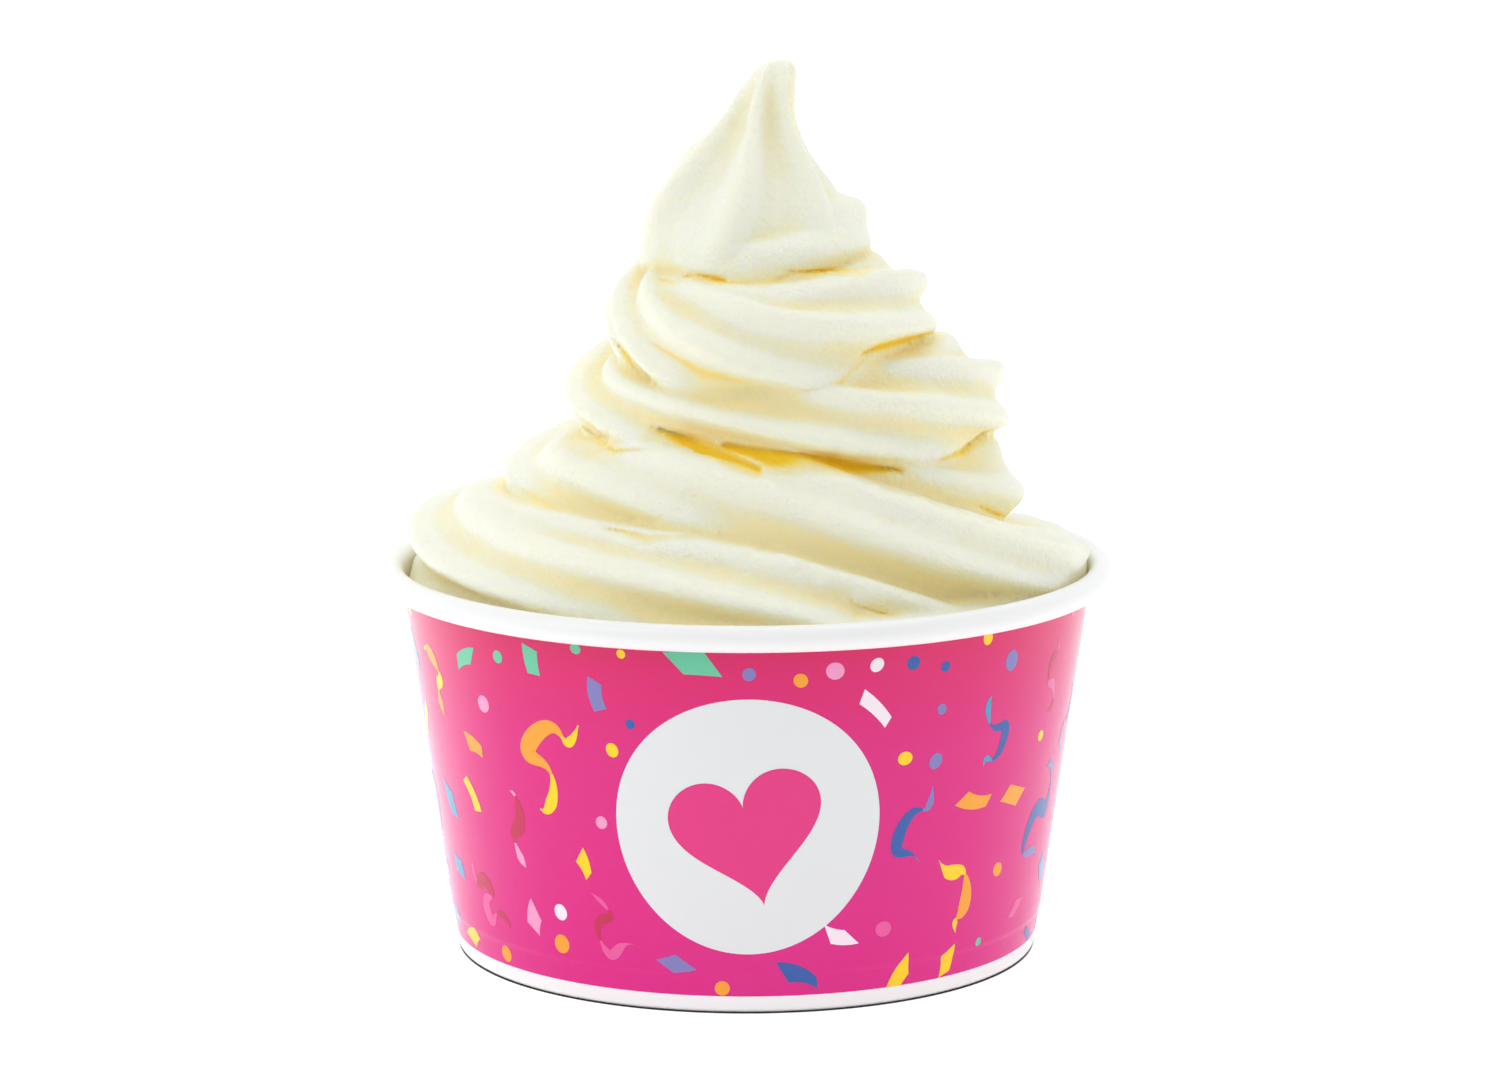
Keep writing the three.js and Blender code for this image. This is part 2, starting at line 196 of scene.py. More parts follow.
# Painted shade in a fold: what a smooth place has, and what each millimetre below the smoothed surfaces
# adds.
FOLD_SHADE_LEAST, FOLD_SHADE_FINE, FOLD_SHADE_BROAD = 0.12, 0.4, 0.42

# ---- Camera ----
CAMERA_PLACE = (0, -0.850, 0.225)   # metres
CAMERA_DOWN = 10.75       # degrees that it looks down by
CAMERA_TURN = -0.0018     # radians
SENSOR, LENS = 36, 132.2


# ======================================================================== meshes
def mesh_piece(name, surfaces, materials, smooth=True):
    """Joins grid surfaces into one mesh object. Each surface is (points, wrap, capped, shade):
    points is rows x columns x 3 in millimetres, neighbouring points are joined by four-sided faces,
    wrap joins the last column to the first, capped closes the first and last rows, and shade is
    the number of the material that the faces take, one number or one for each row of faces."""
    corners, faces, shades = [], [], []
    first = 0
    for points, wrap, capped, shade in surfaces:
        rows, columns, _ = points.shape
        index = first + np.arange(rows * columns).reshape(rows, columns)
        index = np.concatenate([index, index[:, :1]], 1) if wrap else index
        quads = np.stack([index[:-1, :-1], index[:-1, 1:], index[1:, 1:], index[1:, :-1]], -1)
        faces += quads.reshape(-1, 4).tolist()
        shades.append(np.repeat(np.broadcast_to(shade, rows - 1), quads.shape[1]))
        if capped:
            faces += [index[0, :columns][::-1].tolist(), index[-1, :columns].tolist()]
            shades.append(np.zeros(2, int))
        corners.append(points.reshape(-1, 3))
        first += rows * columns
    mesh = bpy.data.meshes.new(name)
    mesh.from_pydata((np.concatenate(corners) * MM).tolist(), [], faces)
    mesh.polygons.foreach_set("material_index", np.concatenate(shades).astype(np.int32))
    for material in materials:
        mesh.materials.append(material)
    if smooth:
        mesh.shade_smooth()
    piece = bpy.data.objects.new(name, mesh)
    bpy.context.collection.objects.link(piece)
    return piece


def tidy_normals(piece, merge=0.00001):
    """Merges doubles and turns the faces of a closed mesh outwards."""
    work = bmesh.new()
    work.from_mesh(piece.data)
    bmesh.ops.remove_doubles(work, verts=work.verts, dist=merge)
    bmesh.ops.dissolve_degenerate(work, edges=work.edges, dist=merge / 4)
    bmesh.ops.recalc_face_normals(work, faces=work.faces)
    work.to_mesh(piece.data)
    work.free()
    return piece


def finished(piece):
    """Applies the piece's modifiers."""
    settled = bpy.context.evaluated_depsgraph_get()
    mesh = bpy.data.meshes.new_from_object(piece.evaluated_get(settled))
    piece.modifiers.clear()
    piece.data = mesh
    return piece


def turned(profile, sides=CUP_SIDES):
    """A profile of (radius, height) points turned about the cup's axis."""
    angle = np.linspace(0, 2 * PI, sides, endpoint=False)[None, :]
    radius, height = profile[:, :1], profile[:, 1:]
    return np.stack([radius * np.cos(angle), radius * np.sin(angle), height + 0 * angle], -1)


# ======================================================================== yogurt
def along(values, place):
    """Catmull-Rom curve through evenly spaced values, held at both ends."""
    last = len(values) - 1
    low = np.clip(np.floor(place).astype(int), 0, last - 1)
    part = place - low
    before, start, end, after = (values[np.clip(low + i, 0, last)] for i in (-1, 0, 1, 2))
    rise, fall = (end - before) / 2, (after - start) / 2
    return ((2 * part**3 - 3 * part**2 + 1) * start + (part**3 - 2 * part**2 + part) * rise
            + (-2 * part**3 + 3 * part**2) * end + (part**3 - part**2) * fall)


def crest(angle, sharpness):
    """Star nozzle's outline: 1 on a crest and 0 in the middle of a valley."""
    return ((1 + np.cos(RIDGES * angle)) / 2) ** sharpness


def rope(steps=860, around=64):
    """Rope of yogurt that climbs clockwise. Its section is half an ellipse, pulled in between the
    crests of a star that turns as the rope goes on; flat slabs run from it to the cup's axis."""
    turn = np.linspace(0, ROPE_TURNS, steps)[:, None]
    reach, height, half_height, phase = (along(TURNS[:, k], 4 * turn) for k in range(4))
    half_width, depth = (along(ROPE_SIZES[:, k], turn) for k in range(2))
    angle = np.linspace(-PI / 2, PI / 2, around)[None, :]
    open_side = np.minimum(1, np.cos(angle) / VALLEY_FADE)
    size = 1 - depth * open_side * (1 - crest(angle - np.radians(phase), ROPE_SHARPNESS))
    middle = np.maximum(reach - half_width, 1)
    edge = np.full_like(turn, INNER_EDGE)
    radius = np.concatenate([edge, middle + (reach - middle) * size * np.cos(angle), edge], 1)
    level = np.concatenate(
        [height - half_height, height + half_height * size * np.sin(angle), height + half_height], 1)
    bearing = -2 * PI * turn
    return np.stack([radius * np.cos(bearing), radius * np.sin(bearing), level], -1)


def peak(rows=110, columns=150):
    """Drop on top, drawn up into a blunt tip that leans: radius by height from a table, a curled
    underside, and flutes that turn and deepen on the way up."""
    share = np.linspace(0, 1, rows)[:, None]
    around = np.linspace(0, 2 * PI, columns, endpoint=False)[None, :]
    up = np.maximum(0, (share - UNDER_SHARE) / (1 - UNDER_SHARE))
    under = PI / 2 * np.maximum(0, 1 - share / UNDER_SHARE)
    radius, lean, bearing, depth = (along(PEAK[:, k], (len(PEAK) - 1) * up) for k in range(4))
    radius = radius * np.sqrt(np.maximum(1 - up**TIP_BLUNTNESS, 0))
    radius = radius * np.maximum(np.cos(under), 0) ** UNDER_ROUNDNESS
    radius = radius * (1 - depth * (1 - crest(around - np.radians(bearing), PEAK_SHARPNESS)))
    height = PEAK_HEIGHT + (TIP_HEIGHT - PEAK_HEIGHT) * up - UNDER_DEPTH * np.sin(under)
    back = radius * np.sin(around) - PEAK_FORWARD + TIP_BACK * up
    return np.stack([lean + radius * np.cos(around), back, height + 0 * around], -1)


def inner_wall(height):
    """Radius of the cup's inner face."""
    return FOOT_RADIUS + SLOPE * height - BOARD


def filling(rows=40):
    """The cup's contents up to where the swirl begins: a cone against the wall with a round brow."""
    height = np.linspace(FLOOR, FILL_TOP, rows)
    side = np.stack([inner_wall(height) - WALL_GAP, height], 1)
    round_in = np.radians(np.linspace(0, 90, 12))[1:]
    brow = np.stack([inner_wall(FILL_TOP) - WALL_GAP - BROW_IN * (1 - np.cos(round_in)),
                     FILL_TOP + BROW_UP * np.sin(round_in)], 1)
    return turned(np.concatenate([side, brow]), 160)


def pole():
    """Core that closes the middle of the swirl."""
    height = np.linspace(FLOOR + 2, POLE_TOP, 80)
    return turned(np.stack([np.full_like(height, POLE_RADIUS), height], 1), 24)


def held_in(points):
    """Draws points in to the room that the cup leaves: its base, its wall, the rim's inner side,
    and a little reach above the rim."""
    radius, height = np.hypot(points[..., 0], points[..., 1]), points[..., 2]
    room = np.where(height < ROLL_HEIGHT, inner_wall(height) - WALL_GAP,
                    np.where(height < RIM_TOP, THROAT, RIM_REACH))
    share = np.where(radius > room, room / np.maximum(radius, 1e-6), 1.0)
    return np.stack([points[..., 0] * share, points[..., 1] * share, np.maximum(height, FLOOR)], -1)


def soft_noise(points, grain, seed):
    """Values from -1 to 1 at the corners of a lattice of cubes of the given size, blended smoothly
    between them."""
    table = np.random.default_rng(seed).uniform(-1, 1, (32, 32, 32))
    cell = points / grain
    low = np.floor(cell).astype(int)
    part = cell - low
    part = part * part * (3 - 2 * part)
    total = np.zeros(len(points))
    for corner in np.ndindex(2, 2, 2):
        weight = np.prod(np.where(corner, part, 1 - part), axis=1)
        place = (low + corner) % 32
        total += weight * table[place[:, 0], place[:, 1], place[:, 2]]
    return total


def layered_noise(points, layers):
    """The sum of soft noises of several sizes."""
    return sum(height * soft_noise(points, size, seed) for height, size, seed in layers)


def shared_out(values, edges, times):
    """Replaces each value by the mean of its neighbours', again and again."""
    one, other = edges[:, 0], edges[:, 1]
    count = np.bincount(one, minlength=len(values)) + np.bincount(other, minlength=len(values))
    count = np.maximum(count, 1)
    for _ in range(times):
        values = np.stack([
            (np.bincount(one, column[other], len(values)) + np.bincount(other, column[one], len(values)))
            / count for column in values.T], 1)
    return values


def read(mesh, collection, name, width, kind=np.float32):
    """A mesh's points, edges or normals as an array."""
    source = getattr(mesh, collection)
    flat = np.empty(len(source) * width, kind)
    source.foreach_get(name, flat)
    return flat.reshape(-1, width).astype(np.float64 if kind is np.float32 else kind)


def places(piece):
    """A mesh's points in millimetres."""
    return read(piece.data, "vertices", "co", 3) / MM


def creases(piece):
    """How far the surface smoothed a little, and smoothed a lot, lies above each point, in
    millimetres: more than nothing in a fold, and less on a crest."""
    points = places(piece)
    normals = read(piece.data, "vertices", "normal", 3)
    edges = read(piece.data, "edges", "vertices", 2, np.int32)
    near = shared_out(points, edges, round(NEAR / VOXEL**2))
    wide = shared_out(near, edges, round(WIDE / VOXEL**2))
    fine = np.einsum("ij,ij->i", near - points, normals)
    broad = np.einsum("ij,ij->i", wide - points, normals)
    return fine, broad


def from_line(points, line):
    """Distance from each point to a line of straight pieces."""
    line = np.array(line, float)
    nearest = np.full(len(points), np.inf)
    for start, run in zip(line[:-1], np.diff(line, axis=0)):
        share = np.clip((points - start) @ run / (run @ run), 0, 1)
        nearest = np.minimum(nearest, np.linalg.norm(points - start - share[:, None] * run, axis=1))
    return nearest


def bell(distance, width):
    """1 on a line, falling smoothly to nothing at about twice the width."""
    return np.exp(-(distance / width) ** 2)


def eased(share):
    """0 to 1 with a smooth start and end."""
    share = np.clip(share, 0, 1)
    return share * share * (3 - 2 * share)


def in_gap(points, line):
    """1 just inside a gap's crisp edge, falling smoothly to 0 at the gap's far side, as seen from
    the front and a little from above. Only what lies near the edge in depth counts."""
    line = np.array(line, float)
    seen = np.stack([points[:, 0], points[:, 2] + LOOKS_LOWER * points[:, 1]], 1)
    edge = np.stack([line[:, 0], line[:, 2] + LOOKS_LOWER * line[:, 1]], 1)
    nearest = np.full(len(points), np.inf)
    result = np.zeros(len(points))
    for here, there, start, end in zip(edge[:-1], edge[1:], line[:-1], line[1:]):
        run = there - here
        share = np.clip((seen - here) @ run / (run @ run), 0, 1)
        off = seen - here - share[:, None] * run
        away = np.linalg.norm(off, axis=1)
        reach = start[3] + share * (end[3] - start[3])
        side = (run[0] * off[:, 1] - run[1] * off[:, 0]) / np.linalg.norm(run) * np.sign(reach)
        inside = eased(side + 0.5) * (1 - eased((side / np.abs(reach) - GAP_FULL) / (1 - GAP_FULL)))
        past_end = np.sqrt(np.maximum(away**2 - side**2, 0))
        behind = points[:, 1] - start[1] - share * (end[1] - start[1])
        inside = inside * bell(past_end, GAP_END) * bell(behind, GAP_SPREAD)
        result = np.where(away < nearest, inside, result)
        nearest = np.minimum(nearest, away)
    return result


def gaps(points):
    """How far each point is pushed in by the gaps, in millimetres, and how much painted yellow shade and
    glow the gaps give it.
    """
    push, yellow = np.zeros(len(points)), np.zeros(len(points))
    front = np.flatnonzero((points[:, 1] < GAPS_BACK_TO) & (points[:, 2] > SEEN_FROM))
    for depth, glow, line in GAPS:
        share = in_gap(points[front], line)
        push[front] = np.maximum(push[front], share * depth)
        # how strongly the gap's painted yellow shade and glow shows here
        yellow[front] = np.maximum(yellow[front], share * glow)
    return push, yellow


def askew():
    """Turning of the voxels: laid askew to the folds, their steps are short and smooth out."""
    c, s = math.cos(VOXEL_TILT), math.sin(VOXEL_TILT)
    return np.array([[1, 0, 0], [0, c, -s], [0, s, c]]) @ np.array([[c, 0, s], [0, 1, 0], [-s, 0, c]])


def moved(piece, points):
    """Puts a mesh's points elsewhere; lengths in millimetres."""
    piece.data.vertices.foreach_set("co", (points * MM).astype(np.float32).ravel())
    piece.data.update()


def fused_yogurt(material):
    """Fuses the filling, pole, peak and rope into one body."""
    surfaces = [(held_in(points) @ askew().T, True, True, 0)
                for points in (filling(), pole(), peak(), rope())]
    piece = tidy_normals(mesh_piece("yogurt_swirl", surfaces, [material]), 1e-7)
    fuse = piece.modifiers.new("fuse", "REMESH")
    fuse.mode, fuse.voxel_size, fuse.use_smooth_shade = "VOXEL", VOXEL * MM, True
    soften = piece.modifiers.new("soften", "SMOOTH")
    soften.factor, soften.iterations = 0.5, 3
    finished(piece)
    moved(piece, places(piece) @ askew())
    return piece


def yogurt_swirl(material):
    """Presses the gaps into the fused body and gives it the small unevenness of soft frozen yogurt:
    broad lumps, fine grain, and torn edges along some of the folds. Then thins the part that the
    cup hides, and keeps for the material how much painted shade each point's fold gives it, and
    how much painted yellow shade and glow its gap gives it."""
    piece = fused_yogurt(material)
    points = places(piece)
    inward = GAP_AIM - points[:, :2]
    points[:, :2] += inward / np.linalg.norm(inward, axis=1, keepdims=True) * gaps(points)[0][:, None]
    moved(piece, points)
    points, normals = places(piece), read(piece.data, "vertices", "normal", 3)
    seen = np.clip((points[:, 2] - SEEN_FROM) / SEEN_EASE, 0, 1)
    ragged = np.max([bell(from_line(points, line), width) for width, line in TORN], axis=0)
    rise = layered_noise(points, SKIN) + ragged * layered_noise(points, TORN_SKIN)
    moved(piece, held_in(points + normals * (seen * rise)[:, None]))
    hidden = piece.vertex_groups.new(name="hidden")
    hidden.add(np.flatnonzero(seen < 0.5).tolist(), 1.0, "REPLACE")
    thin = piece.modifiers.new("thin", "DECIMATE")
    thin.ratio = MOST_TRIANGLES / sum(len(face.vertices) - 2 for face in piece.data.polygons)
    thin.vertex_group, thin.vertex_group_factor = "hidden", 2.0
    finished(piece)
    moved(piece, held_in(places(piece)))
    points = places(piece)
    fine, broad = creases(piece)
    thick = 1 - 0.5 * eased((points[:, 2] - PEAK_HEIGHT) / 10)   # the drop takes half the painted fold shade
    # Painted shade: the deeper a point lies in a fold, the darker and yellower the material paints it.
    fold = FOLD_SHADE_LEAST + (fine * FOLD_SHADE_FINE + broad * FOLD_SHADE_BROAD) * thick
    # The attributes carry that painted fold shade, and the gaps' painted yellow shade and glow.
    for name, value in (("fold", fold), ("gap", gaps(points)[1])):
        layer = piece.data.attributes.new(name, "FLOAT", "POINT")
        layer.data.foreach_set("value", np.clip(value, 0, 1).astype(np.float32))
    piece.data.shade_smooth()
    return piece


# ======================================================================== cup
def sheet_profile(path, ends):
    """Closed outline of a sheet: a path moved half the board's thickness to either side, its edges
    rounded by two points at each end."""
    step = np.gradient(path, axis=0)
    step = step / np.linalg.norm(step, axis=1, keepdims=True)
    side = np.stack([step[:, 1], -step[:, 0]], 1)
    left, right = path - side * BOARD / 2, path + side * BOARD / 2
    tip = path[-1] + step[-1] * ends + side[-1] * np.array([[-0.5], [0.5]]) * BOARD / 2
    tail = path[0] - step[0] * ends + side[0] * np.array([[0.5], [-0.5]]) * BOARD / 2
    return np.concatenate([right, tip[::-1], left[::-1], tail[::-1]])


def wall_radius(height):
    """Radius of the cup's outer face. It steps in where the foot is pressed."""
    out = eased((height - PRESSED_TO) / PRESS_STEP + 0.5)
    return FOOT_RADIUS + SLOPE * height - PRESSED * (1 - out)


def wall_point(height, inward):
    """A point of the wall's section, measured inwards from its outer face."""
    height = np.asarray(height, float)
    return np.stack([wall_radius(height) - inward, height], -1)


def seam_rise(angle):
    """How far the side seam's overlap stands out: a cut edge on one side of it and a long easy
    slope on the other."""
    degrees_on = (np.degrees(angle) - SEAM_AZIMUTH + 180) % 360 - 180
    round_wall = np.radians(degrees_on) * SEAM_RADIUS
    edge = np.clip((round_wall + SEAM_WIDTH / 2) / SEAM_CUT, 0, 1)
    return SEAM_RISE * edge * eased((SEAM_WIDTH / 2 - round_wall) / SEAM_EASE)


def cup_wall(board, print_ink):
    """The wall is one sheet of paperboard: folded in and up at the foot to hold the base, straight
    up the side, then rolled outwards and down into the rim. The outer face carries the print."""
    heights = np.r_[FOLD_TOP, np.linspace(STEP_HIGH, STEP_LOW, 8)[1:], np.linspace(5, 0.8, 5)]
    inner_leg = wall_point(heights, 1.5 * BOARD + SLOT)
    leg = (BOARD + SLOT) / 2
    angle = np.linspace(PI, 2 * PI, 12)[1:-1]
    bend = np.stack([leg * np.cos(angle), leg * np.sin(angle)], 1)
    bend = wall_point(FOLD_MIDDLE, BOARD / 2 + leg) + bend
    heights = np.r_[FOLD_MIDDLE, INK_FOOT, 4.5, np.linspace(STEP_LOW, STEP_HIGH, 9),
                    np.linspace(8, 57.4, 28)]
    side = wall_point(heights, BOARD / 2)
    angle = np.radians(np.linspace(180, -128, 46))[1:]
    middle = RIM_RADIUS - (RIM_RADIUS - WALL_TOP_RADIUS + BOARD) / 2
    roll = np.stack([middle + (RIM_RADIUS - middle - BOARD / 2) * np.cos(angle),
                     ROLL_HEIGHT + (ROLL_HALF_HEIGHT - BOARD / 2) * np.sin(angle)], 1)
    outline = sheet_profile(np.concatenate([inner_leg, bend, side, roll]), 0.12)
    outline[:, 1] = np.maximum(outline[:, 1], 0)
    outline = np.concatenate([outline, outline[:1]])
    points = turned(outline)
    # The seam stands out on the outer face alone, and dies away at the foot and under the rim.
    radius = np.hypot(points[..., 0], points[..., 1])
    outer = np.clip((outline[:, 0] - wall_point(outline[:, 1], BOARD * 0.6)[:, 0]) / 0.1, 0, 1)
    outer = outer * np.clip((SEAM_TOP - outline[:, 1]) / SEAM_TOP_FADE, 0, 1)
    outer = outer * np.clip(outline[:, 1] / SEAM_FOOT_FADE, 0, 1)
    rise = outer[:, None] * seam_rise(np.arctan2(points[..., 1], points[..., 0]))
    points[..., :2] *= (1 + rise / radius)[..., None]
    face = (outline[1:] + outline[:-1]) / 2
    on_print = ((face[:, 1] > INK_FOOT) & (face[:, 1] < INK_TOP)
                & (face[:, 0] > wall_point(face[:, 1], 0.05)[:, 0]) & (face[:, 0] < INK_REACH))
    piece = mesh_piece("cup_wall", [(points, True, False, on_print.astype(int))], [board, print_ink])
    return tidy_normals(piece)


def cup_base(board):
    """Round base of paperboard with a skirt that hangs in the foot's slot, its corner rounded."""
    inward, outward = BOARD + SLOT - SKIRT_ROOM, BOARD + SKIRT_ROOM
    under, top = FOLD_TOP + BASE_LIFT, FOLD_TOP + BASE_LIFT + BOARD
    corner = np.radians(np.linspace(0, 90, 7))
    bend = wall_point(top - BASE_ROUNDING, outward + BASE_ROUNDING)
    bend = bend + BASE_ROUNDING * np.stack([np.cos(corner), np.sin(corner)], 1)
    disc = np.stack([np.linspace(1, 0, 12)[1:] * bend[-1, 0], np.full(11, top)], 1)
    lower = np.stack([np.linspace(0, 1, 12) * wall_point(under, inward)[0], np.full(12, under)], 1)
    legs = wall_point(np.r_[np.linspace(STEP_HIGH, STEP_LOW, 8), 4, SKIRT_FOOT], inward)
    heights = np.r_[SKIRT_FOOT, 4, np.linspace(STEP_LOW, STEP_HIGH, 8), top - BASE_ROUNDING]
    rise = wall_point(heights, outward)
    outline = np.concatenate([lower, legs, rise, bend[1:], disc])
    return tidy_normals(mesh_piece("base_disc", [(turned(outline, 180), True, False, 0)], [board]))


# ======================================================================== print
def wrapped(flat, azimuth, height, proud):
    """Lays a flat figure of (right, up) points on the cup's outer face."""
    level = height + flat[..., 1]
    radius = wall_radius(level) + proud
    angle = math.radians(azimuth) + flat[..., 0] / (FOOT_RADIUS + SLOPE * height)
    return np.stack([radius * np.sin(angle), -radius * np.cos(angle), level], -1)


def tilted(flat, degrees):
    """Turns a flat figure about its own middle."""
    c, s = math.cos(math.radians(degrees)), math.sin(math.radians(degrees))
    return np.stack([flat[..., 0] * c - flat[..., 1] * s, flat[..., 0] * s + flat[..., 1] * c], -1)


def filled(outline, rings):
    """Rings that shrink from an outline to its middle."""
    share = np.linspace(1, 0, rings)[:, None, None]
    return outline[None] * share


def dot(width, height, rings=6, sides=28):
    """Round or oval spot."""
    angle = np.linspace(0, 2 * PI, sides + 1)
    return filled(np.stack([width / 2 * np.cos(angle), height / 2 * np.sin(angle)], 1), rings)


def strip(length, width, bend, slant, end_width=1.0, steps=17):
    """Short cut piece of paper: a band along an arc, its ends cut on the slant."""
    place = np.linspace(-0.5, 0.5, steps)[:, None]
    across = np.linspace(-0.5, 0.5, 9)[None, :]
    turn = bend * place
    radius = length / max(abs(bend), 1e-3)
    half = width * (1 + (end_width - 1) * (place + 0.5))
    span = place * length + slant * across * width
    middle = np.sign(bend or 1) * radius * (1 - np.cos(turn))
    return np.stack([middle + half * across * np.cos(turn), span - half * across * np.sin(turn)], -1)


def ribbon(length, sway, waves, width, twist, lag=0.0, steps=90):
    """Curled streamer: a band along a wave that swings wider on its way, with a second, faster wave
    along its length. The band's width shrinks and grows as it twists, and comes to a point at both
    ends. Returns the figure, and which of its faces show the streamer's back."""
    place = np.linspace(0, 1, steps)
    swing = sway * (0.55 + 0.45 * place)
    x = swing * np.sin(2 * PI * (waves * place + lag))
    y = length * (0.5 - place) + 0.35 * sway * np.sin(4 * PI * (waves * place + lag) + 0.6)
    slope = np.stack([np.gradient(x), np.gradient(y)], 1)
    slope = slope / np.linalg.norm(slope, axis=1, keepdims=True)
    face = np.cos(PI * (twist * place + 0.12))
    half = width / 2 * (0.16 + 0.84 * np.abs(face))
    half = half * np.clip(8 * place, 0.1, 1) * np.clip(8 - 8 * place, 0.1, 1)
    side = np.stack([-slope[:, 1], slope[:, 0]], 1) * half[:, None]
    line = np.stack([x, y], 1)
    across = np.linspace(-1, 1, 8)[None, :, None]
    return line[:, None] + across * side[:, None], face < 0


def heart(size, rings=14, sides=120):
    """Plain heart: 16 sin cubed across and a sum of four cosines upwards."""
    t = np.linspace(0, 2 * PI, sides + 1)
    x = 16 * np.sin(t) ** 3
    y = 13 * np.cos(t) - 5 * np.cos(2 * t) - 2 * np.cos(3 * t) - np.cos(4 * t)
    return filled(np.stack([x, y], 1) * size / 32, rings)


def printed(name, figures, ink, proud):
    """One piece for all the printed figures of a colour. Each figure is (flat points, azimuth in
    degrees from the front, height); what falls outside the printed band is cut off."""
    surfaces = [(wrapped(flat, azimuth, height, proud), False, False, 0)
                for flat, azimuth, height in figures]
    piece = mesh_piece(name, surfaces, [ink])
    work = bmesh.new()
    work.from_mesh(piece.data)
    bmesh.ops.remove_doubles(work, verts=work.verts, dist=1e-7)
    for level, up in ((INK_FOOT, -1), (INK_TOP, 1)):
        bmesh.ops.bisect_plane(work, geom=work.verts[:] + work.edges[:] + work.faces[:], dist=1e-7,
                               plane_co=(0, 0, level * MM), plane_no=(0, 0, up), clear_outer=True)
    inwards = [face for face in work.faces
               if face.normal.xy.dot(face.calc_center_median().xy) < 0]
    bmesh.ops.reverse_faces(work, faces=inwards)
    work.to_mesh(piece.data)
    work.free()
    return piece


def free_place(rng, fresh, taken, room, heights):
    """A (round, up) place on the print that is clear of the label and of the figures before it, or
    None if no try finds one."""
    around = 2 * PI * PRINT_RADIUS
    for _ in range(MOST_TRIES):
        x = (next(fresh) - 0.5) * around
        y = rng.uniform(*heights)
        clear = math.hypot(x, y - LABEL_HEIGHT) > LABEL_RADIUS + room * LABEL_ROOM
        if clear and all(math.hypot((x - u + around / 2) % around - around / 2, y - v) > room + near
                         for u, v, near in taken):
            return x, y
    return None


def drawn(rng, ranges):
    """A random value between each pair of limits."""
    return [rng.uniform(*limits) for limits in ranges]


def figure(rng, kind):
    """One printed figure: its tilt in degrees, and the colour and flat points of each of its parts."""
    tilt = rng.uniform(0, 360)
    if kind == "dot":
        wide = rng.uniform(*DOT_WIDTH)
        colour = rng.choice(DOT_INKS)
        return tilt, [(colour, dot(wide, wide * rng.uniform(*DOT_STRETCH)))]
    if kind == "chip":
        colour = rng.choice(CHIP_INKS)
        return tilt, [(colour, strip(*drawn(rng, CHIP)))]
    front, back = STREAMER_INKS[rng.integers(len(STREAMER_INKS))]
    tilt = rng.uniform(*RIBBON_TILT) + rng.choice([0, 180])
    flat, turned_over = ribbon(*drawn(rng, CURL if kind == "curl" else STREAMER))
    cuts = np.flatnonzero(np.diff(turned_over.astype(int))) + 1
    stretches = np.split(np.arange(len(flat)), cuts)
    return tilt, [(back if turned_over[stretch[0]] else front, flat[stretch[0]:stretch[-1] + 2])
                  for stretch in stretches]


def confetti():
    """Scatters cut paper, dots and streamers over the print, clear of the label and of each other.
    Returns the figures by colour."""
    rng = np.random.default_rng(PRINT_SEED)
    fresh = itertools.cycle(rng.permutation(np.linspace(0, 1, 4000, endpoint=False)))
    taken = []
    by_colour = {}
    for kind, (count, room, heights) in FIGURES.items():
        for _ in range(count):
            place = free_place(rng, fresh, taken, room, heights)
            if place is None:
                continue
            taken.append((*place, room))
            azimuth = math.degrees(place[0] / PRINT_RADIUS)
            tilt, parts = figure(rng, kind)
            for colour, flat in parts:
                by_colour.setdefault(str(colour), []).append((tilted(flat, tilt), azimuth, place[1]))
    return by_colour


# ======================================================================== materials
def linear(hex_colour):
    """sRGB hex to the linear values that Blender works in."""
    value = np.array([int(hex_colour[i:i + 2], 16) / 255 for i in (1, 3, 5)])
    value = np.where(value <= 0.04045, value / 12.92, ((value + 0.055) / 1.055) ** 2.4)
    return (*value.tolist(), 1.0)


def node(tree, kind, settings=(), inputs=(), links=()):
    """Adds a node: its own settings, fixed inputs, and links from (node, output) to its inputs."""
    made = tree.nodes.new(kind)
    for name, value in dict(settings).items():
        setattr(made, name, value)
    for name, value in dict(inputs).items():
        made.inputs[name].default_value = value
    for name, (source, output) in dict(links).items():
        tree.links.new(source.outputs[output], made.inputs[name])
    return made


def new_material(name, inputs):
    """A material with one Principled shader, whose fixed values are set on its own sockets."""
    material = bpy.data.materials.new(name)
    material.use_nodes = True
    tree = material.node_tree
    shader = tree.nodes["Principled BSDF"]
    for socket, value in inputs.items():
        shader.inputs[socket].default_value = value
    return material, tree, shader


def colour_stops(tree, stops, source):
    """A colour ramp through (place, hex colour) stops, read at the value of a node's output."""
    ramp = node(tree, "ShaderNodeValToRGB", links={"Fac": source})
    while len(ramp.color_ramp.elements) < len(stops):
        ramp.color_ramp.elements.new(0.5)
    for element, (place, colour) in zip(ramp.color_ramp.elements, stops):
        element.position, element.color = place, linear(colour)
    return ramp


